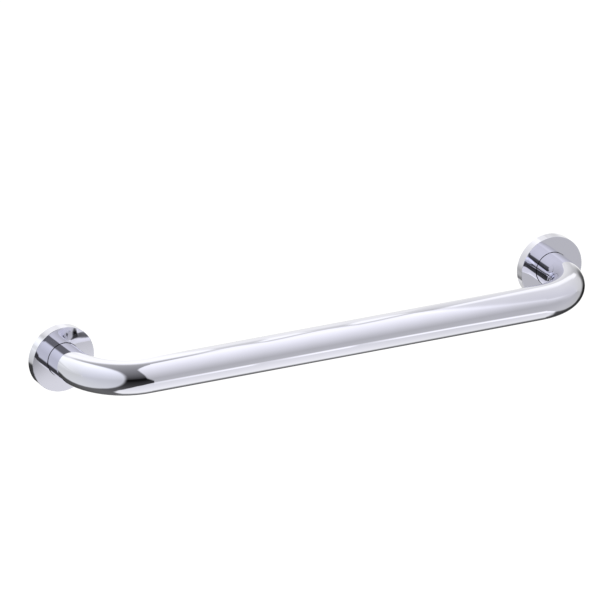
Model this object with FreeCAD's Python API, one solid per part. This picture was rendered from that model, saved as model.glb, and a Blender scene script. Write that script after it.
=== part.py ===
import FreeCAD, Part
import math
import os

V = FreeCAD.Vector

# Wall grab bar, in millimetres
# The wall is the plane Y = 0, the bar stands out from it towards -Y, and the grip runs along X.
# The origin is on the wall, midway between the two legs.

# Bent tube
leg_spacing = 500.0
wall_to_bar_axis = 76.0
tube_diameter = 32.0
tube_wall = 1.5
bend_radius = 49.0
tube_end_chamfer = 0.3

# Covers, the round rosettes
cover_diameter = 62.0
cover_depth = 9.0
cover_wall = 1.5
cover_edge_radius = 0.3
cover_hole_gap = 0.4
cover_lead_in = 0.5

# Wall plates and the rubber discs behind them
seal_thickness = 1.0
plate_thickness = 5.0
plate_to_cover_gap = 1.5
plate_edge_chamfer = 0.5
wall_screw_hole = 5.5
wall_screw_head = 10.0

# O-rings between plate and cover
ring_squeeze_gap = 0.05
ring_groove_depth = 1.0
ring_groove_side_gap = 0.1

# Posts, and the bushes fixed in the tube's ends
bush_wall = 4.4
bush_short_of_bend = 1.0
bush_lead_in = 0.5
post_gap = 0.1
post_short_of_bush = 1.0
post_tip_chamfer = 1.5
groove_depth = 1.5

# Screws that hold the posts to the plates
post_screw_thread = 8.0
post_screw_head = 16.0
post_screw_length = 16.0
post_screw_socket = 5.0
post_screw_socket_depth = 3.0
plate_hole_gap = 0.2
tap_depth_spare = 1.5

# Grub screws under the legs
grub_thread = 6.0
grub_below_surface = 0.5
grub_tip_gap = 0.3
grub_tip_flat = 0.8
grub_socket = 3.0
grub_socket_depth = 2.5
grub_hole_gap = 0.2
thread_gap = 0.02

# Worked out from the sizes above
tube_radius = tube_diameter / 2
tube_inner_radius = tube_radius - tube_wall
leg_length = wall_to_bar_axis - bend_radius
half_grip = leg_spacing / 2 - bend_radius
cover_radius = cover_diameter / 2
cover_inner_radius = cover_radius - cover_wall
cover_hole_radius = tube_radius + cover_hole_gap
plate_radius = cover_inner_radius - plate_to_cover_gap
plate_back = seal_thickness
plate_front = seal_thickness + plate_thickness
plate_middle = (plate_back + plate_front) / 2
wall_screw_offset = (tube_radius + plate_radius) / 2
groove_floor_radius = plate_radius - ring_groove_depth
ring_section_radius = (cover_inner_radius - groove_floor_radius) / 2 - ring_squeeze_gap
ring_middle_radius = (cover_inner_radius + groove_floor_radius) / 2
bush_end = leg_length - bush_short_of_bend
bush_bore_radius = tube_inner_radius - bush_wall
post_radius = bush_bore_radius - post_gap
post_end = bush_end - post_short_of_bush
grub_out = (cover_depth + leg_length) / 2
grub_head_z = tube_radius - grub_below_surface
grub_tip_z = post_radius - groove_depth + grub_tip_gap + grub_tip_flat / 2


# A closed outline of (radius, distance from the wall), turned about the axis of the leg at x
def turned(outline, x):
    points = [V(x + radius, -out, 0) for radius, out in outline]
    face = Part.Face(Part.makePolygon(points + points[:1]))
    return face.revolve(V(x, 0, 0), V(0, 1, 0), 360)


# A round bar square to the wall, between two distances from it
def round_bar(radius, near, far, x, z=0.0):
    return Part.makeCylinder(radius, far - near, V(x, -near, z), V(0, -1, 0))


# A hexagonal bar of a size across its flats, from a start point along a direction
def hex_bar(across_flats, length, start, direction):
    corner_radius = across_flats / 2 / math.cos(math.radians(30))
    corners = [math.radians(60 * i) for i in range(7)]
    outline = [V(corner_radius * math.cos(a), corner_radius * math.sin(a), 0) for a in corners]
    bar = Part.Face(Part.makePolygon(outline)).extrude(V(0, 0, length))
    bar.Placement = FreeCAD.Placement(start, FreeCAD.Rotation(V(0, 0, 1), direction))
    return bar


# The tube's centre line, from the left leg's end on its plate to the right leg's
def tube_path():
    bar_y = -wall_to_bar_axis
    bend_y = -leg_length
    leg_x = leg_spacing / 2
    on_bend = bend_radius * math.sin(math.radians(45))
    middle_y = bend_y - on_bend
    middle_x = half_grip + on_bend
    left_bend = Part.Arc(V(-leg_x, bend_y, 0), V(-middle_x, middle_y, 0), V(-half_grip, bar_y, 0))
    right_bend = Part.Arc(V(half_grip, bar_y, 0), V(middle_x, middle_y, 0), V(leg_x, bend_y, 0))
    edges = [
        Part.LineSegment(V(-leg_x, -plate_front, 0), V(-leg_x, bend_y, 0)),
        left_bend,
        Part.LineSegment(V(-half_grip, bar_y, 0), V(half_grip, bar_y, 0)),
        right_bend,
        Part.LineSegment(V(leg_x, bend_y, 0), V(leg_x, -plate_front, 0)),
    ]
    return Part.Wire([edge.toShape() for edge in edges])


# A round section swept along the centre line
def swept(radius):
    start = V(-leg_spacing / 2, -plate_front, 0)
    section = Part.Wire(Part.makeCircle(radius, start, V(0, -1, 0)))
    return tube_path().makePipeShell([section], True, False)


# The bent tube, open at both ends, with a grub screw's hole in the underside of each leg
def make_bar_tube():
    tube = swept(tube_radius).cut(swept(tube_inner_radius))
    for x in (-leg_spacing / 2, leg_spacing / 2):
        tube = tube.cut(grub_bore(x, grub_thread / 2 + grub_hole_gap, tube_inner_radius - tube_wall))
    return tube.makeChamfer(tube_end_chamfer, [e for e in tube.Edges if is_on_plate(e)])


# Whether an edge lies on the fronts of the wall plates
def is_on_plate(edge):
    box = edge.BoundBox
    return abs(box.YMin + plate_front) < 1e-6 and abs(box.YMax + plate_front) < 1e-6


# A round bore up into the leg at x from below, as far as a height under its axis
def grub_bore(x, radius, top_z):
    below = 2 * tube_radius
    return Part.makeCylinder(radius, below - top_z, V(x, -grub_out, -below), V(0, 0, 1))


# A turned cup with its open side on the wall, widened there for the O-ring, and a hole for the leg
def make_cover(x):
    inner_face = cover_depth - cover_wall
    cup = turned([
        (cover_radius, 0),
        (cover_radius, cover_depth),
        (cover_hole_radius, cover_depth),
        (cover_hole_radius, inner_face),
        (cover_inner_radius, inner_face),
        (cover_inner_radius, cover_lead_in),
        (cover_inner_radius + cover_lead_in, 0),
    ], x)
    rim = [e for e in cup.Edges if is_circle_at(e, cover_radius, cover_depth)]
    return cup.makeFillet(cover_edge_radius, rim)


# Whether an edge is the full circle of a radius at a distance from the wall
def is_circle_at(edge, radius, out):
    centre_y = edge.BoundBox.Center.y
    width = edge.BoundBox.XLength
    return abs(centre_y + out) < 1e-6 and abs(width - 2 * radius) < 1e-6


# The disc that is screwed to the wall, with a groove round its rim for the O-ring
def make_wall_plate(x):
    half_groove = ring_section_radius + ring_groove_side_gap
    plate = turned([
        (0, plate_back),
        (plate_radius - plate_edge_chamfer, plate_back),
        (plate_radius, plate_back + plate_edge_chamfer),
        (plate_radius, plate_middle - half_groove),
        (groove_floor_radius, plate_middle - half_groove),
        (groove_floor_radius, plate_middle + half_groove),
        (plate_radius, plate_middle + half_groove),
        (plate_radius, plate_front - plate_edge_chamfer),
        (plate_radius - plate_edge_chamfer, plate_front),
        (0, plate_front),
    ], x)
    for z in (-wall_screw_offset, wall_screw_offset):
        plate = plate.cut(wall_screw_seat(x, z))
    shank_hole = round_bar(post_screw_thread / 2 + plate_hole_gap, 0, plate_front, x)
    return plate.cut(shank_hole).cut(turned(screw_head_outline(plate_hole_gap), x))


# A through hole with a 90 degree countersink that opens at the plate's front
def wall_screw_seat(x, z):
    hole_radius = wall_screw_hole / 2
    head_radius = wall_screw_head / 2
    sink_depth = head_radius - hole_radius
    hole = round_bar(hole_radius, 0, plate_front, x, z)
    sink_start = V(x, sink_depth - plate_front, z)
    sink = Part.makeCone(hole_radius, head_radius, sink_depth, sink_start, V(0, -1, 0))
    return hole.fuse(sink)


# The 90 degree head of a post screw, flush with the plate's back, widened by a gap
def screw_head_outline(gap):
    head_radius = post_screw_head / 2 + gap
    neck_radius = post_screw_thread / 2 + gap
    return [
        (0, plate_back),
        (head_radius, plate_back),
        (neck_radius, plate_back + head_radius - neck_radius),
        (0, plate_back + head_radius - neck_radius),
    ]


# A thin rubber disc that keeps water from the plate's screw holes
def make_wall_seal(x):
    seal = round_bar(plate_radius, 0, seal_thickness, x)
    for z in (-wall_screw_offset, wall_screw_offset):
        seal = seal.cut(round_bar(wall_screw_hole / 2, 0, seal_thickness, x, z))
    return seal


# A rubber O-ring in the plate's groove, which grips the inside of the cover
def make_cover_ring(x):
    return Part.makeTorus(ring_middle_radius, ring_section_radius, V(x, -plate_middle, 0), V(0, 1, 0))


# A turned post with a V groove for the grub screw and a tapped hole in its foot
def make_post(x):
    tap_end = plate_back + post_screw_length + tap_depth_spare
    tap_radius = post_screw_thread / 2 + thread_gap
    return turned([
        (tap_radius, plate_front),
        (post_radius, plate_front),
        (post_radius, grub_out - groove_depth),
        (post_radius - groove_depth, grub_out),
        (post_radius, grub_out + groove_depth),
        (post_radius, post_end - post_tip_chamfer),
        (post_radius - post_tip_chamfer, post_end),
        (0, post_end),
        (0, tap_end),
        (tap_radius, tap_end),
    ], x)


# A countersunk socket screw, driven from the back of the plate into the post
def make_post_screw(x):
    tip = plate_back + post_screw_length
    shank = round_bar(post_screw_thread / 2, plate_back, tip, x)
    screw = turned(screw_head_outline(0), x).fuse(shank).removeSplitter()
    start = V(x, -plate_back, 0)
    return screw.cut(hex_bar(post_screw_socket, post_screw_socket_depth, start, V(0, -1, 0)))


# A turned bush that fills the tube's end, bored for the post with a lead-in, and tapped from below
def make_tube_bush(x):
    bush = turned([
        (bush_bore_radius + bush_lead_in, plate_front),
        (tube_inner_radius, plate_front),
        (tube_inner_radius, bush_end),
        (bush_bore_radius, bush_end),
        (bush_bore_radius, plate_front + bush_lead_in),
    ], x)
    return bush.cut(grub_bore(x, grub_thread / 2 + thread_gap, 0))


# A cone-point grub screw, just below the surface of the tube, its tip in the post's groove
def make_grub_screw(x):
    thread_radius = grub_thread / 2
    tip_radius = grub_tip_flat / 2
    cone_length = thread_radius - tip_radius
    body_length = grub_head_z - grub_tip_z - cone_length
    start = V(x, -grub_out, -grub_head_z)
    body = Part.makeCylinder(thread_radius, body_length, start, V(0, 0, 1))
    cone_start = start + V(0, 0, body_length)
    cone = Part.makeCone(thread_radius, tip_radius, cone_length, cone_start, V(0, 0, 1))
    return body.fuse(cone).cut(hex_bar(grub_socket, grub_socket_depth, start, V(0, 0, 1)))


makers = {
    "cover": make_cover,
    "wall_plate": make_wall_plate,
    "wall_seal": make_wall_seal,
    "cover_ring": make_cover_ring,
    "post": make_post,
    "post_screw": make_post_screw,
    "tube_bush": make_tube_bush,
    "grub_screw": make_grub_screw,
}
nodes = {"bar_tube": make_bar_tube()}
for side, leg_x in (("left", -leg_spacing / 2), ("right", leg_spacing / 2)):
    for name, make in makers.items():
        nodes[side + "_" + name] = make(leg_x)

os.makedirs("parts", exist_ok=True)
for name, shape in nodes.items():
    shape.exportStep("parts/" + name + ".step")
    print(name, len(shape.Solids), "solid", round(shape.Volume), "mm3", "valid" if shape.isValid() else "INVALID")
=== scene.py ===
import math
import bmesh
import bpy
from mathutils import Matrix, Vector


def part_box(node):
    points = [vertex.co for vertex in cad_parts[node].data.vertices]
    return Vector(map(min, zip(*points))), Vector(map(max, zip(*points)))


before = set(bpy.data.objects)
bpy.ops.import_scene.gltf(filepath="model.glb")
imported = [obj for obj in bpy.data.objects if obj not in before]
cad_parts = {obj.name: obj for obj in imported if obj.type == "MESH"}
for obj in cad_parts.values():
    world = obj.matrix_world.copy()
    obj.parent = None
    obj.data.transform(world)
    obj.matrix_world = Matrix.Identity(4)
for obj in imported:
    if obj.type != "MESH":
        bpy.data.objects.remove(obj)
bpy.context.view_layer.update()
print("frame loaded:", len(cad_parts), "nodes")

# camera: far off to the front left, looking down at the bar through a long lens
cameraLook = {
    "azimuth": 28.24,                   # degrees round to the left of straight on
    "height": 22.26,                    # degrees above level
    "roll": 0.99,                       # degrees, the photograph leans a little
    "distance": 25.0,                   # metres
    "pixelsPerMetre": 1104.25,
    "imageWidth": 600,
    "originPixel": (304.02, 310.45),    # where the middle of the wall plane falls in the picture
    "sensorWidth": 36.0,
}


def cameraAxes(look):
    azimuth, height, roll = (math.radians(look[name]) for name in ("azimuth", "height", "roll"))
    level = math.cos(height)
    back = Vector((-math.sin(azimuth) * level, -math.cos(azimuth) * level, math.sin(height)))
    side = (-back).cross(Vector((0, 0, 1))).normalized()
    up = side.cross(-back)
    leaningSide = math.cos(roll) * side + math.sin(roll) * up
    leaningUp = math.cos(roll) * up - math.sin(roll) * side
    return leaningSide, leaningUp, back


def placeCamera(look):
    side, up, back = cameraAxes(look)
    middle = look["imageWidth"] / 2
    across = (middle - look["originPixel"][0]) / look["pixelsPerMetre"]
    above = (look["originPixel"][1] - middle) / look["pixelsPerMetre"]
    data = bpy.data.cameras.new("productCamera")
    data.sensor_width = look["sensorWidth"]
    data.lens = look["sensorWidth"] * look["distance"] * look["pixelsPerMetre"] / look["imageWidth"]
    data.clip_end = look["distance"] * 2
    camera = bpy.data.objects.new("productCamera", data)
    bpy.context.scene.collection.objects.link(camera)
    turn = Matrix((side, up, back)).transposed().to_4x4()
    camera.matrix_world = Matrix.Translation(back * look["distance"] + side * across + up * above) @ turn
    bpy.context.scene.camera = camera


placeCamera(cameraLook)
print("camera placed")


def newMaterial(name):
    material = bpy.data.materials.new(name)
    material.use_nodes = True
    material.node_tree.nodes.clear()
    output = material.node_tree.nodes.new("ShaderNodeOutputMaterial")
    return material, material.node_tree, output


# adds a node, sets its properties, and sets or links its inputs by name
def addNode(tree, kind, inputs=None, **settings):
    node = tree.nodes.new(kind)
    for name, value in settings.items():
        setattr(node, name, value)
    for name, value in (inputs or {}).items():
        if isinstance(value, bpy.types.NodeSocket):
            tree.links.new(value, node.inputs[name])
        else:
            node.inputs[name].default_value = value
    return node


def addMath(tree, operation, first, second=0.0):
    return addNode(tree, "ShaderNodeMath", {0: first, 1: second}, operation=operation).outputs[0]


# shader groups: what more than one finish uses
def newGroup(name, inputs, outputs):
    tree = bpy.data.node_groups.new(name, "ShaderNodeTree")
    for socketName, value in inputs.items():
        socket = tree.interface.new_socket(socketName, in_out="INPUT", socket_type="NodeSocketFloat")
        socket.default_value = value
    for socketName, kind in outputs.items():
        tree.interface.new_socket(socketName, in_out="OUTPUT", socket_type="NodeSocket" + kind)
    return tree, addNode(tree, "NodeGroupInput").outputs, addNode(tree, "NodeGroupOutput").inputs


# the fine rings that a lathe leaves round the axis of each leg
turningLook = {
    "sockets": {"Ring spacing": 0.0004, "Cut depth": 0.3},  # metres, and a share of the depth below
    "detail": 2.0,
    "depth": 0.00005,           # metres
}


def makeTurningMarks(look, legX):
    tree, given, made = newGroup("turningMarks", look["sockets"], {"Rings": "Float", "Normal": "Vector"})
    place = addNode(tree, "ShaderNodeTexCoord").outputs["Object"]
    axes = addNode(tree, "ShaderNodeSeparateXYZ", {"Vector": place}).outputs
    aside = addMath(tree, "SUBTRACT", addMath(tree, "ABSOLUTE", axes["X"]), legX)
    squares = addMath(tree, "POWER", aside, 2.0), addMath(tree, "POWER", axes["Z"], 2.0)
    fromAxis = addMath(tree, "SQRT", addMath(tree, "ADD", *squares))
    travel = addMath(tree, "SUBTRACT", fromAxis, axes["Y"])
    count = addMath(tree, "DIVIDE", travel, given["Ring spacing"])
    inputs = {"W": count, "Scale": 1.0, "Detail": look["detail"]}
    rings = addNode(tree, "ShaderNodeTexNoise", inputs, noise_dimensions="1D").outputs["Fac"]
    heights = {"Strength": given["Cut depth"], "Distance": look["depth"], "Height": rings}
    bump = addNode(tree, "ShaderNodeBump", heights)
    tree.links.new(rings, made["Rings"])
    tree.links.new(bump.outputs["Normal"], made["Normal"])
    return tree


# soft clouds where hands and cloths have been, with a few hair-fine wiping marks
handlingLook = {
    "sockets": {"Cloud size": 0.03, "Wipe marks": 0.3},     # metres, and how strong they are
    "cloudDetail": 3.0,
    "cloudWarp": 0.6,
    "cloudEdge": (0.42, 0.68),
    "wipeTurn": (0.3, 0.5, 0.2),
    "wipeDensity": (60, 900, 900),      # per metre, along the wiping and across it
    "wipeDetail": 1.0,
    "wipeEdge": (0.62, 0.72),
}


def makeHandling(look):
    tree, given, made = newGroup("handling", look["sockets"], {"Haze": "Float"})
    place = addNode(tree, "ShaderNodeTexCoord").outputs["Object"]
    density = addMath(tree, "DIVIDE", 1.0, given["Cloud size"])
    inputs = {
        "Vector": place,
        "Scale": density,
        "Detail": look["cloudDetail"],
        "Distortion": look["cloudWarp"],
    }
    clouds = addNode(tree, "ShaderNodeTexNoise", inputs).outputs["Fac"]
    inputs = {"Value": clouds, "From Min": look["cloudEdge"][0], "From Max": look["cloudEdge"][1]}
    cloudShare = addNode(tree, "ShaderNodeMapRange", inputs, interpolation_type="SMOOTHSTEP")
    inputs = {"Vector": place, "Rotation": look["wipeTurn"], "Scale": look["wipeDensity"]}
    drawnOut = addNode(tree, "ShaderNodeMapping", inputs).outputs["Vector"]
    inputs = {"Vector": drawnOut, "Scale": 1.0, "Detail": look["wipeDetail"]}
    wipes = addNode(tree, "ShaderNodeTexNoise", inputs).outputs["Fac"]
    inputs = {
        "Value": wipes,
        "From Min": look["wipeEdge"][0],
        "From Max": look["wipeEdge"][1],
        "To Max": given["Wipe marks"],
    }
    wipeShare = addNode(tree, "ShaderNodeMapRange", inputs)
    haze = addMath(tree, "MAXIMUM", cloudShare.outputs["Result"], wipeShare.outputs["Result"])
    tree.links.new(haze, made["Haze"])
    return tree


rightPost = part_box("right_post")
turningMarks = makeTurningMarks(turningLook, (rightPost[0].x + rightPost[1].x) / 2)
handling = makeHandling(handlingLook)


# puts the handling group into a material
def addHaze(tree, look):
    inputs = {"Cloud size": look["cloudSize"], "Wipe marks": look["wipeMarks"]}
    return addNode(tree, "ShaderNodeGroup", inputs, node_tree=handling).outputs["Haze"]


# blends a value between two ends by a mask
def blendValue(tree, mask, ends):
    inputs = {"Value": mask, "To Min": ends[0], "To Max": ends[1]}
    return addNode(tree, "ShaderNodeMapRange", inputs).outputs["Result"]


# the same for two colours, each a plain one or a socket
def blendColour(tree, mask, ends):
    below, above = (end if isinstance(end, bpy.types.NodeSocket) else (*end, 1) for end in ends)
    return addNode(tree, "ShaderNodeMix", {0: mask, 6: below, 7: above}, data_type="RGBA").outputs[2]


# chrome: a mirror over polished tube, hardly dulled where it has been handled
chromeLook = {
    "colour": ((0.87, 0.87, 0.95), (0.86, 0.86, 0.935)),      # clean, and under the faint haze
    "roughness": (0.026, 0.04),
    "cloudSize": 0.035,         # metres
    "wipeMarks": 0.35,
}


def makeChrome(look):
    material, tree, output = newMaterial("chromePlate")
    haze = addHaze(tree, look)
    shader = addNode(tree, "ShaderNodeBsdfPrincipled", {
        "Base Color": blendColour(tree, haze, look["colour"]),
        "Metallic": 1.0,
        "Roughness": blendValue(tree, haze, look["roughness"]),
    })
    tree.links.new(shader.outputs["BSDF"], output.inputs["Surface"])
    return material


# bare turned metals: plates and posts, screws, and the bushes in the tube's ends
turnedLooks = {
    "plate_steel": {
        "colour": ((0.54, 0.54, 0.55), (0.66, 0.66, 0.665)),  # in the grooves, darker there as painted shade, and on the crests
        "roughness": (0.42, 0.26),
        "ringSpacing": 0.00035,
        "cutDepth": 0.35,
        "stain": (0.47, 0.465, 0.45),                         # where the cutting oil dried
        "stainShare": 0.3,
    },
    "screw_steel": {
        "colour": ((0.4, 0.4, 0.42), (0.56, 0.56, 0.58)),
        "roughness": (0.4, 0.28),
        "ringSpacing": 0.0002,
        "cutDepth": 0.25,
        "stain": (0.33, 0.33, 0.34),
        "stainShare": 0.35,
    },
    "bush_brass": {
        "colour": ((0.66, 0.5, 0.25), (0.82, 0.66, 0.36)),
        "roughness": (0.4, 0.24),
        "ringSpacing": 0.0003,
        "cutDepth": 0.3,
        "stain": (0.5, 0.36, 0.2),
        "stainShare": 0.4,
    },
}
turnedHandling = {"cloudSize": 0.008, "wipeMarks": 0.6}


def makeTurnedMetal(name, look):
    material, tree, output = newMaterial(name)
    inputs = {"Ring spacing": look["ringSpacing"], "Cut depth": look["cutDepth"]}
    marks = addNode(tree, "ShaderNodeGroup", inputs, node_tree=turningMarks).outputs
    # the ring tone: turning grain, darker in the grooves as painted shade and lighter on the crests
    metal = blendColour(tree, marks["Rings"], look["colour"])
    stain = addMath(tree, "MULTIPLY", addHaze(tree, turnedHandling), look["stainShare"])
    shader = addNode(tree, "ShaderNodeBsdfPrincipled", {
        "Base Color": blendColour(tree, stain, (metal, look["stain"])),
        "Metallic": 1.0,
        "Roughness": blendValue(tree, marks["Rings"], look["roughness"]),
        "Normal": marks["Normal"],
    })
    tree.links.new(shader.outputs["BSDF"], output.inputs["Surface"])
    return material


# rubber: matt and nearly black, with the fine grain of its mould and a bloom of pale dust
rubberLook = {
    "colour": ((0.03, 0.03, 0.032), (0.055, 0.055, 0.058)),
    "dust": (0.16, 0.155, 0.15),
    "dustShare": 0.25,
    "roughness": (0.62, 0.8),
    "grainSize": 0.0003,        # metres
    "grainDepth": 0.00003,
    "grainStrength": 0.6,
    "grainDetail": 2.0,
    "cloudSize": 0.012,         # metres, of the dust
    "wipeMarks": 0.8,
    "ior": 1.5,
}


def makeRubber(look):
    material, tree, output = newMaterial("sealRubber")
    place = addNode(tree, "ShaderNodeTexCoord").outputs["Object"]
    inputs = {"Vector": place, "Scale": 1 / look["grainSize"], "Detail": look["grainDetail"]}
    grain = addNode(tree, "ShaderNodeTexNoise", inputs).outputs["Fac"]
    rubber = blendColour(tree, grain, look["colour"])
    dust = addMath(tree, "MULTIPLY", addHaze(tree, look), look["dustShare"])
    inputs = {"Strength": look["grainStrength"], "Distance": look["grainDepth"], "Height": grain}
    bump = addNode(tree, "ShaderNodeBump", inputs)
    shader = addNode(tree, "ShaderNodeBsdfPrincipled", {
        "Base Color": blendColour(tree, dust, (rubber, look["dust"])),
        "Roughness": blendValue(tree, grain, look["roughness"]),
        "IOR": look["ior"],
        "Normal": bump.outputs["Normal"],
    })
    tree.links.new(shader.outputs["BSDF"], output.inputs["Surface"])
    return material


finishes = {name: makeTurnedMetal(name, look) for name, look in turnedLooks.items()}
finishes["chrome_plate"] = makeChrome(chromeLook)
finishes["seal_rubber"] = makeRubber(rubberLook)
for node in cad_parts.values():
    for materialSlot in node.material_slots:
        materialSlot.material = finishes[materialSlot.material.name]
print("finishes made:", len(finishes))

# A light tent stands round the bar, and only shiny surfaces see it. Two numbers give a place in it. Turn is
# in degrees round the bar: 0 level in front, 90 overhead, 180 level behind, and -90 or 270 underneath. Across
# runs from -1 at the tent's left end to 1 at its right end.
# Tones are as the eye sees them in the metal, from 0 to 255. Lists of pairs are followed from point to point,
# and were set until the metal looked as it does in the photograph. A single pair gives where a fade
# starts and where it ends.


# rises smoothly from 0 at the start to 1 at the end
def fade(value, start, end):
    share = min(max((value - start) / (end - start), 0), 1)
    return share * share * (3 - 2 * share)


def fadeOut(value, start, end):
    return 1 - fade(value, start, end)


def inside(value, low, high, soft):
    return fade(value, low - soft, low + soft) * fadeOut(value, high - soft, high + soft)


def follow(value, points):
    if value <= points[0][0]:
        return points[0][1]
    for (fromAt, fromTone), (toAt, toTone) in zip(points, points[1:]):
        if value <= toAt:
            return fromTone + (toTone - fromTone) * (value - fromAt) / (toAt - fromAt)
    return points[-1][1]


def ridge(value, middle, width):
    return math.exp(-((value - middle) / width) ** 2)


def mix(below, above, share):
    return below + (above - below) * share


# the same turn counted from 0 to 360, so that it runs on without a jump behind and underneath
def fullTurn(turn):
    return turn % 360


# front cloth: grey in front, white overhead, and all round behind where nothing hangs over it
frontCloth = [
    (0, 174), (35, 209), (65, 234), (92, 253), (180, 255), (205, 245), (225, 178), (345, 178),
    (360, 174),
]

# right side wall, seen in the right bend
rightWall = {
    "edge": [(28, 0.585), (33, 0.586), (39, 0.574), (52, 0.552), (60, 0.545), (83, 0.524), (112, 0.503)],
    "edgeSoft": [(28, 0.035), (36, 0.012)],
    "tones": [
        (-90, 187), (-58, 189), (-26, 180), (-5, 175), (2, 178), (15, 193), (22, 205), (31, 223),
        (36, 208), (42, 203), (52, 205), (105, 216),
    ],
    "endTones": [(-60, 180), (-20, 181), (10, 198), (100, 206), (180, 202), (300, 180)],
    "endAcross": (0.8, 1.02),   # its tones turn into those of its end
    "besideTone": 4,            # how much lighter the cloth is beside it
    "besideWidth": 0.08,        # across
    "besideTurns": (28, 62),
    "besideSoft": 6,
    "hemTone": 13,              # how much lighter its hem is
    "hemWidth": 0.016,
    "hemStart": (30, 37),
    "hemEnd": (100, 112),
    "hemEndAcross": (0.6, 0.62),
}


def paintRightWall(level, across, turn):
    edge = follow(turn, rightWall["edge"])
    soft = follow(turn, rightWall["edgeSoft"])
    endTones = follow(turn, rightWall["endTones"])
    tones = mix(follow(turn, rightWall["tones"]), endTones, fade(across, *rightWall["endAcross"]))
    level = mix(level, tones, fade(across, edge - soft, edge + soft))
    beside = fade(across, edge - rightWall["besideWidth"], edge) * fadeOut(across, edge, edge + soft)
    beside *= inside(turn, *rightWall["besideTurns"], rightWall["besideSoft"])
    hem = ridge(across, edge, rightWall["hemWidth"]) * fade(turn, *rightWall["hemStart"])
    hem *= fadeOut(turn, *rightWall["hemEnd"]) * fadeOut(across, *rightWall["hemEndAcross"])
    return level + rightWall["besideTone"] * beside + rightWall["hemTone"] * hem


# three folds overhead, each a white swell, a dark line and a grey fall to the back: what goes by depth is
# counted across from the fold's start
folds = {
    "turns": (80, 165),         # there are none outside these
    "starts": (0.2, 0.282, 0.364),
    "ends": (0.366, 0.444),     # of the first two, at the turn given below
    "endsTurn": 114,
    "lean": 0.00025,            # how far the ends move to the right with each degree
    "line": [(0.03, 97), (0.06, 102), (0.1, 109), (0.13, 119), (0.145, 118), (0.165, 108)],  # by depth
    "lineTone": 52,             # how much darker it is
    "lineWidth": 5.5,           # degrees
    "lineStart": (-0.02, 0.06),     # depths
    "lineEnd": (0.15, 0.165),       # it fades out in the last fold and stops short in the others
    "swellTone": 255,
    "swellStart": (-0.12, 0),       # depths
    "swellEnd": 0.135,
    "swellBehind": (2, 12),     # degrees behind the line
    "greyFrom": [(0.1, 190), (0.11, 170), (0.118, 141), (0.128, 121), (0.145, 117), (0.165, 108)],
    "lastGreyFrom": [
        (0.1, 190), (0.11, 170), (0.118, 141), (0.128, 121), (0.145, 118), (0.17, 126), (0.24, 135),
    ],
    "greySoft": (-3, 6),        # degrees, from where the grey starts
    "greyStart": (0.07, 0.1),       # depths
    "greyEnd": (0.15, 0.2),         # in the last fold
    "greys": [(108, 200), (125, 204), (150, 226), (180, 240)],
    "greysToBack": (0.5, 0.62),     # across, where the greys turn into the back cloth's tones
    "backTurns": (137, 149),        # the folds end here
    "backTurnsLast": (138, 150),
    "backAcrossLast": (0.55, 0.6),  # and beyond this the last fold doesn't
    "hemDepth": 0.14,               # deeper than this the last fold goes on as a white sheet with a hem
    "hemSoft": (0.14, 0.16),
    "hem": [
        (0.5, 100), (0.56, 117), (0.6, 131), (0.64, 134.5), (0.76, 136.3), (0.8, 141), (0.84, 144),
        (0.88, 150),
    ],
    "belowHem": (5, 12),            # degrees
    "whiteTone": 251,
    "whiteStart": (0.14, 0.17),
    "whiteEndAcross": (0.85, 0.88),
    "riseFrom": [(0.5, 95), (0.56, 99), (0.64, 94), (0.72, 100), (0.76, 105), (0.8, 115), (0.84, 128)],
    "riseTo": [(0.5, 100), (0.56, 117), (0.64, 128), (0.72, 128), (0.76, 137), (0.84, 143)],
}


def paintFolds(level, across, turn):
    if not folds["turns"][0] < turn < folds["turns"][1]:
        return level
    plain = level
    lean = folds["lean"] * (turn - folds["endsTurn"])
    passed = sum(across >= end + lean for end in folds["ends"])
    isLast = passed == len(folds["ends"])
    depth = across - folds["starts"][passed]
    line = follow(depth, folds["line"])
    if depth < folds["swellEnd"]:
        swell = fade(turn - line, *folds["swellBehind"]) * fade(depth, *folds["swellStart"])
        level = mix(level, folds["swellTone"], swell)
    if depth < folds["lineEnd"][1]:
        dark = ridge(turn, line, folds["lineWidth"]) * fade(depth, *folds["lineStart"])
        if isLast:
            dark *= fadeOut(depth, *folds["lineEnd"])
        level -= folds["lineTone"] * dark
    greyFrom = follow(depth, folds["lastGreyFrom"] if isLast else folds["greyFrom"])
    grey = fade(turn - greyFrom, *folds["greySoft"]) * fade(depth, *folds["greyStart"])
    back = follow(across, backCloth["upper"])
    greys = mix(follow(turn, folds["greys"]), back, fade(across, *folds["greysToBack"]))
    if isLast and depth >= folds["hemDepth"]:
        return paintLastSheet(level, plain, across, turn, depth, grey, greys)
    return mix(mix(level, greys, grey), plain, fade(turn, *folds["backTurns"]))


# the last fold's far part: white above its hem, and grey below it
def paintLastSheet(level, plain, across, turn, depth, grey, greys):
    below = fade(turn - follow(across, folds["hem"]), *folds["belowHem"])
    grey = max(grey * fadeOut(depth, *folds["greyEnd"]), below * fade(depth, *folds["hemSoft"]))
    white = fade(turn, follow(across, folds["riseFrom"]), follow(across, folds["riseTo"])) * (1 - below)
    white *= fade(depth, *folds["whiteStart"]) * fadeOut(across, *folds["whiteEndAcross"])
    ending = fade(turn, *folds["backTurnsLast"]) * fadeOut(across, *folds["backAcrossLast"])
    return mix(mix(mix(level, greys, grey), folds["whiteTone"], white), plain, ending)


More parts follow.
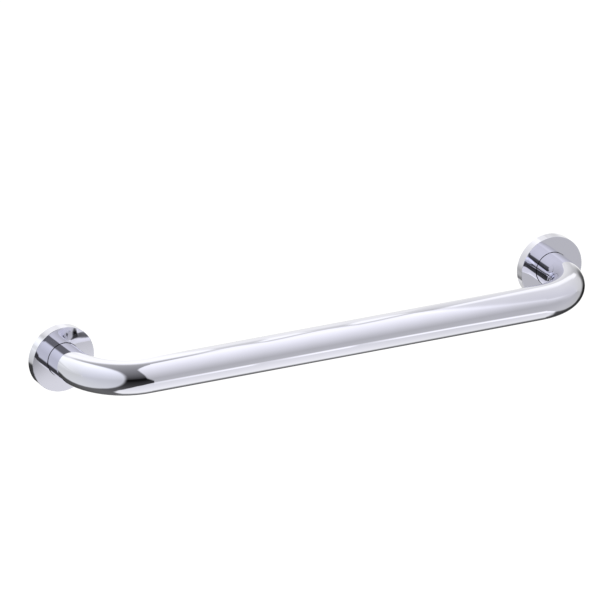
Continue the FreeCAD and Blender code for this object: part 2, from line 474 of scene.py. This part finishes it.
# back cloth, seen in the rims and along the top of the tube: four bands, one below the other
backCloth = {
    "upper": [
        (-0.5, 199), (-0.36, 214), (-0.2, 226), (0.05, 233), (0.1, 245), (0.27, 247), (0.31, 236),
        (0.5, 231), (0.6, 220), (0.7, 206), (0.8, 182), (0.88, 165),
    ],
    "level": [
        (-0.45, 206), (0.05, 234), (0.1, 254), (0.27, 255), (0.31, 230), (0.7, 228), (0.765, 240),
        (0.81, 180), (0.85, 150),
    ],
    "lower": [
        (-0.4, 175), (-0.3, 163), (-0.15, 190), (0, 222), (0.1, 250), (0.27, 252), (0.31, 226),
        (0.69, 224), (0.765, 240), (0.81, 180), (0.85, 150),
    ],
    "low": [
        (-0.4, 160), (-0.2, 157), (0, 136), (0.1, 217), (0.14, 226), (0.3, 226), (0.45, 170),
        (0.55, 157),
    ],
    "bandStarts": {"level": (158, 178), "lower": (182, 200), "low": (203, 210)},
    "start": (145, 165),
    "end": (216, 226),
    "early": 22,                # degrees by which it starts earlier over this stretch
    "earlyAcross": (0.31, 0.5),
    "earlySoft": 0.02,
    "wallAcross": (0.88, 0.93),     # the right wall's end hangs over it here
    "wallTurns": (146, 228),
    "wallSoft": 5,
    "whiteTone": 253,               # the white overhead, which is plain from the left end to here
    "whiteAcross": (0.1, 0.2),
    "whiteTurns": (90, 180),
    "whiteStart": (104, 112),
    "whiteToUpper": (138, 152),
}


def paintBackCloth(level, across, turn):
    full = fullTurn(turn)
    tones = follow(across, backCloth["upper"])
    if backCloth["whiteTurns"][0] < full <= backCloth["whiteTurns"][1]:
        white = mix(backCloth["whiteTone"], tones, fade(full, *backCloth["whiteToUpper"]))
        share = fade(full, *backCloth["whiteStart"]) * fadeOut(across, *backCloth["whiteAcross"])
        level = mix(level, white, share)
    for band, start in backCloth["bandStarts"].items():
        tones = mix(tones, follow(across, backCloth[band]), fade(full, *start))
    early = backCloth["early"] * inside(across, *backCloth["earlyAcross"], backCloth["earlySoft"])
    share = fade(full + early, *backCloth["start"]) * fadeOut(full, *backCloth["end"])
    level = mix(level, tones, share)
    share = fade(across, *backCloth["wallAcross"])
    share *= inside(full, *backCloth["wallTurns"], backCloth["wallSoft"])
    return mix(level, follow(full, rightWall["endTones"]), share)


# dark gap between the cloths in front, left of the middle
gap = {
    "leftEdge": [
        (-150, -0.67), (-75, -0.665), (-65, -0.645), (-35, -0.59), (5, -0.525), (35, -0.48),
        (95, -0.43), (115, -0.43), (130, -0.5), (138, -0.535), (158, -0.57),
    ],
    "rightEdge": [
        (-45, 0.35), (-28, 0.22), (5, 0.04), (30, -0.012), (45, -0.052), (66, -0.062), (76, 0.02),
        (86, 0.137), (104, 0.3),
    ],
    "topEdge": [(-0.45, 126), (-0.3, 121), (-0.2, 117), (-0.05, 113), (0.1, 110), (0.3, 110)],
    "tones": [
        (-155, 50), (-115, 93), (-95, 97), (-55, 80), (-10, 40), (0, 18), (8, 18), (13, 58),
        (25, 86), (45, 112), (105, 163),
    ],
    "soft": 0.035,
    "topSoft": (-10, 13),       # degrees, from its top edge
    "bottom": (-153, -143),
    "seam": [(117, -0.335), (122, -0.355), (130, -0.4), (138, -0.465), (146, -0.53)],
    "seamTone": [(112, 0), (119, 48), (127, 46), (134, 32), (140, 24), (152, 0)],  # how much darker it is
    "seamWidth": 0.075,
}


def paintGap(level, across, turn):
    edge = follow(turn, gap["rightEdge"])
    share = fadeOut(across, edge - gap["soft"], edge + gap["soft"]) * fade(turn, *gap["bottom"])
    share *= fadeOut(turn - follow(across, gap["topEdge"]), *gap["topSoft"])
    seam = ridge(across, follow(turn, gap["seam"]), gap["seamWidth"]) * follow(turn, gap["seamTone"])
    return mix(level, follow(turn, gap["tones"]), share) - seam * (1 - share)


# floor cloth, with a strip light along its front edge
floorCloth = {
    "leftEdge": [
        (-155, -0.02), (-130, -0.05), (-100, -0.1), (-92, -0.26), (-84, -0.37), (-68, -0.44),
        (-52, -0.375), (-44, -0.305), (-36, -0.205), (-30, -0.16),
    ],
    "rightEdge": [(-150, 0.72), (-110, 0.6), (-80, 0.685), (-60, 0.7), (-28, 0.58)],
    "frontEdge": [
        (-0.4, -39), (-0.2, -35.5), (-0.05, -32.5), (0.05, -29), (0.2, -25.95), (0.25, -25.5),
        (0.45, -25.5), (0.515, -28), (0.55, -32), (0.585, -37), (0.63, -38.8), (0.665, -43.5),
        (0.68, -47.5), (0.7, -55.5),
    ],
    "tones": [
        (205, 238), (213, 215), (220, 145), (228, 105), (245, 100), (252, 119), (258, 163),
        (263, 214), (268, 238), (280, 234), (300, 225), (330, 212),
    ],
    "sideSoft": 0.04,
    "frontSoft": 1.2,           # degrees
    "back": (203, 208),
    "lift": [(0.35, 0), (0.43, -2.5), (0.52, -2), (0.57, 1), (0.62, 3.5)],     # moves its tones, in degrees
    "darkerTone": 9,            # how much darker it is at the right
    "darkerAcross": (0.4, 0.55),
    "stripTone": 262,
    "stripBelow": 7.9,          # how far its middle is below the front edge
    "stripWidth": 4.5,
    "stripWider": 0.3,          # how much wider it gets, as a share
    "stripWiderAcross": (0.5, 0.6),
    "stripStarts": [(0.19, 0.15), (0.344, 0.05), (0.425, 0.05)],    # of each length, and how far it fades in
    "stripEnd": (0.69, 0.73),
}


def paintFloorCloth(level, across, turn):
    full = fullTurn(turn)
    left, right = follow(turn, floorCloth["leftEdge"]), follow(turn, floorCloth["rightEdge"])
    fromFront = turn - follow(across, floorCloth["frontEdge"])
    share = inside(across, left, right, floorCloth["sideSoft"]) * fade(full, *floorCloth["back"])
    share *= fadeOut(fromFront, -floorCloth["frontSoft"], floorCloth["frontSoft"])
    tones = follow(full - follow(across, floorCloth["lift"]), floorCloth["tones"])
    tones -= floorCloth["darkerTone"] * fade(across, *floorCloth["darkerAcross"])
    return paintStrip(mix(level, tones, share), across, fromFront)


def paintStrip(level, across, fromFront):
    begun = [length for length in floorCloth["stripStarts"] if length[0] <= across]
    if not begun:
        return level
    start, fadeIn = begun[-1]
    wider = 1 + floorCloth["stripWider"] * fade(across, *floorCloth["stripWiderAcross"])
    strip = ridge(fromFront, -floorCloth["stripBelow"], floorCloth["stripWidth"] * wider)
    strip *= fade(across - start, 0, fadeIn) * fadeOut(across, *floorCloth["stripEnd"])
    return mix(level, floorCloth["stripTone"], strip)


# dark corner, low at the right
corner = {
    "tones": [
        (154, 208), (158, 198), (162, 162), (170, 114), (178, 92), (195, 75), (205, 40), (214, 14),
        (226, 44), (270, 70), (300, 78),
    ],
    "leftEdge": [
        (175, 0.85), (205, 0.775), (220, 0.75), (235, 0.66), (244, 0.605), (250, 0.585),
        (260, 0.63), (266, 0.655), (278, 0.69), (296, 0.725),
    ],
    "rightEdge": [
        (150, 0.9), (165, 0.905), (175, 0.92), (185, 0.935), (225, 0.94), (245, 0.915), (255, 0.86),
        (276, 0.785), (290, 0.745),
    ],
    "soft": 0.04,
    "start": (150, 165),
    "end": (284, 297),
}


def paintCorner(level, across, turn):
    full = fullTurn(turn)
    left, right = follow(full, corner["leftEdge"]), follow(full, corner["rightEdge"])
    share = inside(across, left, right, corner["soft"])
    share *= fade(full, *corner["start"]) * fadeOut(full, *corner["end"])
    return mix(level, follow(full, corner["tones"]), share)


# left side wall, over everything else, and the shade beside it low behind
leftWall = {
    "tones": [
        (5, 190), (25, 207), (65, 236), (105, 256), (158, 256), (163, 244), (166, 222), (171, 222),
        (174, 237), (177, 221), (190, 201), (255, 212), (305, 204), (350, 190),
    ],
    "endTone": 197,
    "endWidth": 0.4,
    "soft": 0.055,
    "shadeTone": 58,
    "shadeFrom": [(-0.55, 204), (-0.47, 209), (-0.35, 210.5), (-0.15, 211), (-0.05, 213)],
    "shadeTo": 218,
    "shadeSoft": 2.5,
    "shadeAcross": (-0.13, -0.01),
}


def leftShare(across, turn):
    edge = follow(turn, gap["leftEdge"])
    return fadeOut(across, edge - leftWall["soft"], edge + leftWall["soft"])


def paintLeftWall(level, across, turn):
    full = fullTurn(turn)
    share = leftShare(across, turn)
    fromEnd = math.sqrt(min((1 + across) / leftWall["endWidth"], 1))
    level = mix(level, mix(leftWall["endTone"], follow(full, leftWall["tones"]), fromEnd), share)
    shade = inside(full, follow(across, leftWall["shadeFrom"]), leftWall["shadeTo"], leftWall["shadeSoft"])
    shade *= (1 - share) * fadeOut(across, *leftWall["shadeAcross"])
    return mix(level, leftWall["shadeTone"], shade)


# from the farthest back to the nearest
paints = [
    paintRightWall,
    paintFolds,
    paintBackCloth,
    paintGap,
    paintFloorCloth,
    paintCorner,
    paintLeftWall,
]
darkest, brightest = 10, 268       # the limits of all tones


def tone(across, turn):
    level = follow(fullTurn(turn), frontCloth)
    for paint in paints:
        level = paint(level, across, turn)
    return min(max(level, darkest), brightest)


# how much green and blue there is beside the red: more blue in front and overhead, and in the left wall
tints = {
    "blue": [
        (0, 1.03), (50, 1.05), (90, 1.03), (140, 0.985), (200, 0.97), (235, 0.98), (275, 1.0),
        (310, 1.02), (345, 1.03),
    ],
    "leftGreen": 1.02,
    "leftBlue": 1.035,
}


def tint(across, turn):
    share = leftShare(across, turn)
    green = mix(1, tints["leftGreen"], share)
    blue = follow(fullTurn(turn), tints["blue"]) * mix(1, tints["leftBlue"], share)
    return green, blue


tentShape = {
    "radius": 1.0,              # metres
    "middle": Vector((0, -0.05, 0)),
    "stepsAcross": 250,         # along the bar
    "stepsRound": 360,          # round the bar
    "endHole": 0.0001,          # so that the rings at its ends aren't single points
    "metalTone": 0.87,          # what the metal gives back, so the tones above are as the eye sees them
}

# a nearer card at the gap's right edge: it hides more of the gap from the right leg than from the left bend
nearCard = {
    "radius": 0.585,            # metres from the middle of the tent
    "seenFrom": -0.21,          # where along the bar its left edge falls on the gap's right edge
    "rightEnd": 0.1,
    "turns": (-24, 62),
    "steps": (30, 106),         # across and round
}


# from a tone on the screen to an amount of light
def toLinear(level):
    share = level / 255
    return share / 12.92 if share <= 0.04045 else ((share + 0.055) / 1.055) ** 2.4


def lightColour(level, across, turn, alpha):
    light = toLinear(level) / tentShape["metalTone"]
    green, blue = tint(across, turn)
    return light, light * green, light * blue, alpha


# a point of the tent or the card, from the tent's middle
def tentPoint(radius, along, turn):
    ring = math.sqrt(radius * radius - along * along)
    angle = math.radians(turn)
    return Vector((along, -ring * math.cos(angle), ring * math.sin(angle)))


# a glow in the colour painted on each point, as solid as that colour's alpha
def makeTentMaterial():
    material, tree, output = newMaterial("lightTent")
    paint = addNode(tree, "ShaderNodeAttribute", attribute_name="tentLight").outputs
    glow = addNode(tree, "ShaderNodeEmission", {"Color": paint["Color"]})
    through = addNode(tree, "ShaderNodeBsdfTransparent")
    layers = {0: paint["Alpha"], 1: through.outputs["BSDF"], 2: glow.outputs["Emission"]}
    surface = addNode(tree, "ShaderNodeMixShader", layers)
    tree.links.new(surface.outputs["Shader"], output.inputs["Surface"])
    material.cycles.emission_sampling = "NONE"
    return material


# a sheet of points in rows, each given as a place and a colour, that only shiny surfaces see
def hangSheet(name, rows, closed):
    mesh = bmesh.new()
    colours = mesh.verts.layers.float_color.new("tentLight")
    verts = []
    for row in rows:
        verts.append([])
        for spot, colour in row:
            verts[-1].append(mesh.verts.new(tentShape["middle"] + spot))
            verts[-1][-1][colours] = colour
    for first, second in zip(verts, verts[1:]):
        for j in range(len(first) - 1 + closed):
            k = (j + 1) % len(first)
            mesh.faces.new((first[j], first[k], second[k], second[j]))
    data = bpy.data.meshes.new(name)
    mesh.to_mesh(data)
    mesh.free()
    data.materials.append(tentMaterial)
    sheet = bpy.data.objects.new(name, data)
    bpy.context.scene.collection.objects.link(sheet)
    for ray in ("camera", "diffuse", "transmission", "volume_scatter", "shadow"):
        setattr(sheet, "visible_" + ray, False)


def buildTent(shape):
    rows = []
    for i in range(shape["stepsAcross"] + 1):
        across = 2 * i / shape["stepsAcross"] - 1
        across = min(max(across, shape["endHole"] - 1), 1 - shape["endHole"])
        row = []
        for j in range(shape["stepsRound"]):
            turn = 360 * j / shape["stepsRound"] - 180
            spot = tentPoint(shape["radius"], across * shape["radius"], turn)
            row.append((spot, lightColour(tone(across, turn), across, turn, 1)))
        rows.append(row)
    hangSheet("lightTent", rows, True)


# in the front cloth's tones, solid but for its soft left edge
def buildNearCard(card):
    rows = []
    for j in range(card["steps"][1] + 1):
        turn = mix(*card["turns"], j / card["steps"][1])
        edge = mix(card["seenFrom"], follow(turn, gap["rightEdge"]), card["radius"])
        soft = gap["soft"] * card["radius"]
        start, end = edge - soft, edge + soft
        level = follow(fullTurn(turn), frontCloth)
        row = []
        for i in range(card["steps"][0] + 1):
            along = mix(start, max(card["rightEnd"], end), (i / card["steps"][0]) ** 2)
            colour = lightColour(level, 0, turn, fade(along, start, end))
            row.append((tentPoint(card["radius"], along, turn), colour))
        rows.append(row)
    hangSheet("nearCard", rows, False)


tentMaterial = makeTentMaterial()
buildTent(tentShape)
buildNearCard(nearCard)
print("light tent built")

# floor: a plain white round, well below the bar, which keeps its shadow
floorShape = {
    "below": 1.1,               # metres under the bar
    "radius": 6.0,
    "sides": 96,
    "colour": (0.8, 0.8, 0.8, 1),
    "roughness": 0.9,
    "glow": 0.45,               # only for the camera, so that the floor ends in white
}


def buildFloor(shape):
    mesh = bmesh.new()
    place = Matrix.Translation((0, 0, -shape["below"]))
    outline = {"segments": shape["sides"], "radius": shape["radius"], "matrix": place}
    bmesh.ops.create_circle(mesh, cap_ends=True, **outline)
    data = bpy.data.meshes.new("floor")
    mesh.to_mesh(data)
    mesh.free()
    floor = bpy.data.objects.new("floor", data)
    bpy.context.scene.collection.objects.link(floor)
    material, tree, output = newMaterial("floor")
    seen = addNode(tree, "ShaderNodeLightPath").outputs["Is Camera Ray"]
    shader = addNode(tree, "ShaderNodeBsdfPrincipled", {
        "Base Color": shape["colour"],
        "Roughness": shape["roughness"],
        "Emission Color": (1, 1, 1, 1),
        "Emission Strength": addMath(tree, "MULTIPLY", seen, shape["glow"]),
    })
    through = addNode(tree, "ShaderNodeBsdfTransparent")
    fromBelow = addNode(tree, "ShaderNodeNewGeometry").outputs["Backfacing"]
    sides = {0: fromBelow, 1: shader.outputs["BSDF"], 2: through.outputs["BSDF"]}
    surface = addNode(tree, "ShaderNodeMixShader", sides)
    tree.links.new(surface.outputs["Shader"], output.inputs["Surface"])
    data.materials.append(material)


buildFloor(floorShape)

# light: an even pale sky, which the camera sees as white, and two big soft lamps
studioLight = {
    "sky": 0.75,
    "lamps": {
        "leftLamp": {"place": (-2.0, -2.2, 1.8), "size": 1.4, "watts": 11.0},
        "rightLamp": {"place": (2.4, -1.2, 2.2), "size": 1.4, "watts": 8.0},
    },
}


def lightStudio(light):
    world = bpy.data.worlds.new("studio")
    world.use_nodes = True
    world.node_tree.nodes.clear()
    tree = world.node_tree
    rays = addNode(tree, "ShaderNodeLightPath").outputs
    seen = addMath(tree, "MAXIMUM", rays["Is Camera Ray"], rays["Is Glossy Ray"])
    seen = addMath(tree, "MAXIMUM", seen, rays["Is Transmission Ray"])
    inputs = {"Color": (1, 1, 1, 1), "Strength": blendValue(tree, seen, (light["sky"], 1.0))}
    background = addNode(tree, "ShaderNodeBackground", inputs)
    output = addNode(tree, "ShaderNodeOutputWorld")
    tree.links.new(background.outputs["Background"], output.inputs["Surface"])
    bpy.context.scene.world = world
    for name, lamp in light["lamps"].items():
        data = bpy.data.lights.new(name, "AREA")
        data.size = lamp["size"]
        data.energy = lamp["watts"]
        lampObject = bpy.data.objects.new(name, data)
        lampObject.location = lamp["place"]
        lampObject.rotation_mode = "QUATERNION"
        lampObject.rotation_quaternion = (-Vector(lamp["place"])).to_track_quat("-Z", "Y")
        lampObject.visible_glossy = False           # the metal mirrors the tent, not the lamps
        bpy.context.scene.collection.objects.link(lampObject)


lightStudio(studioLight)
bpy.context.scene.view_settings.view_transform = "Standard"
print("floor and light set")
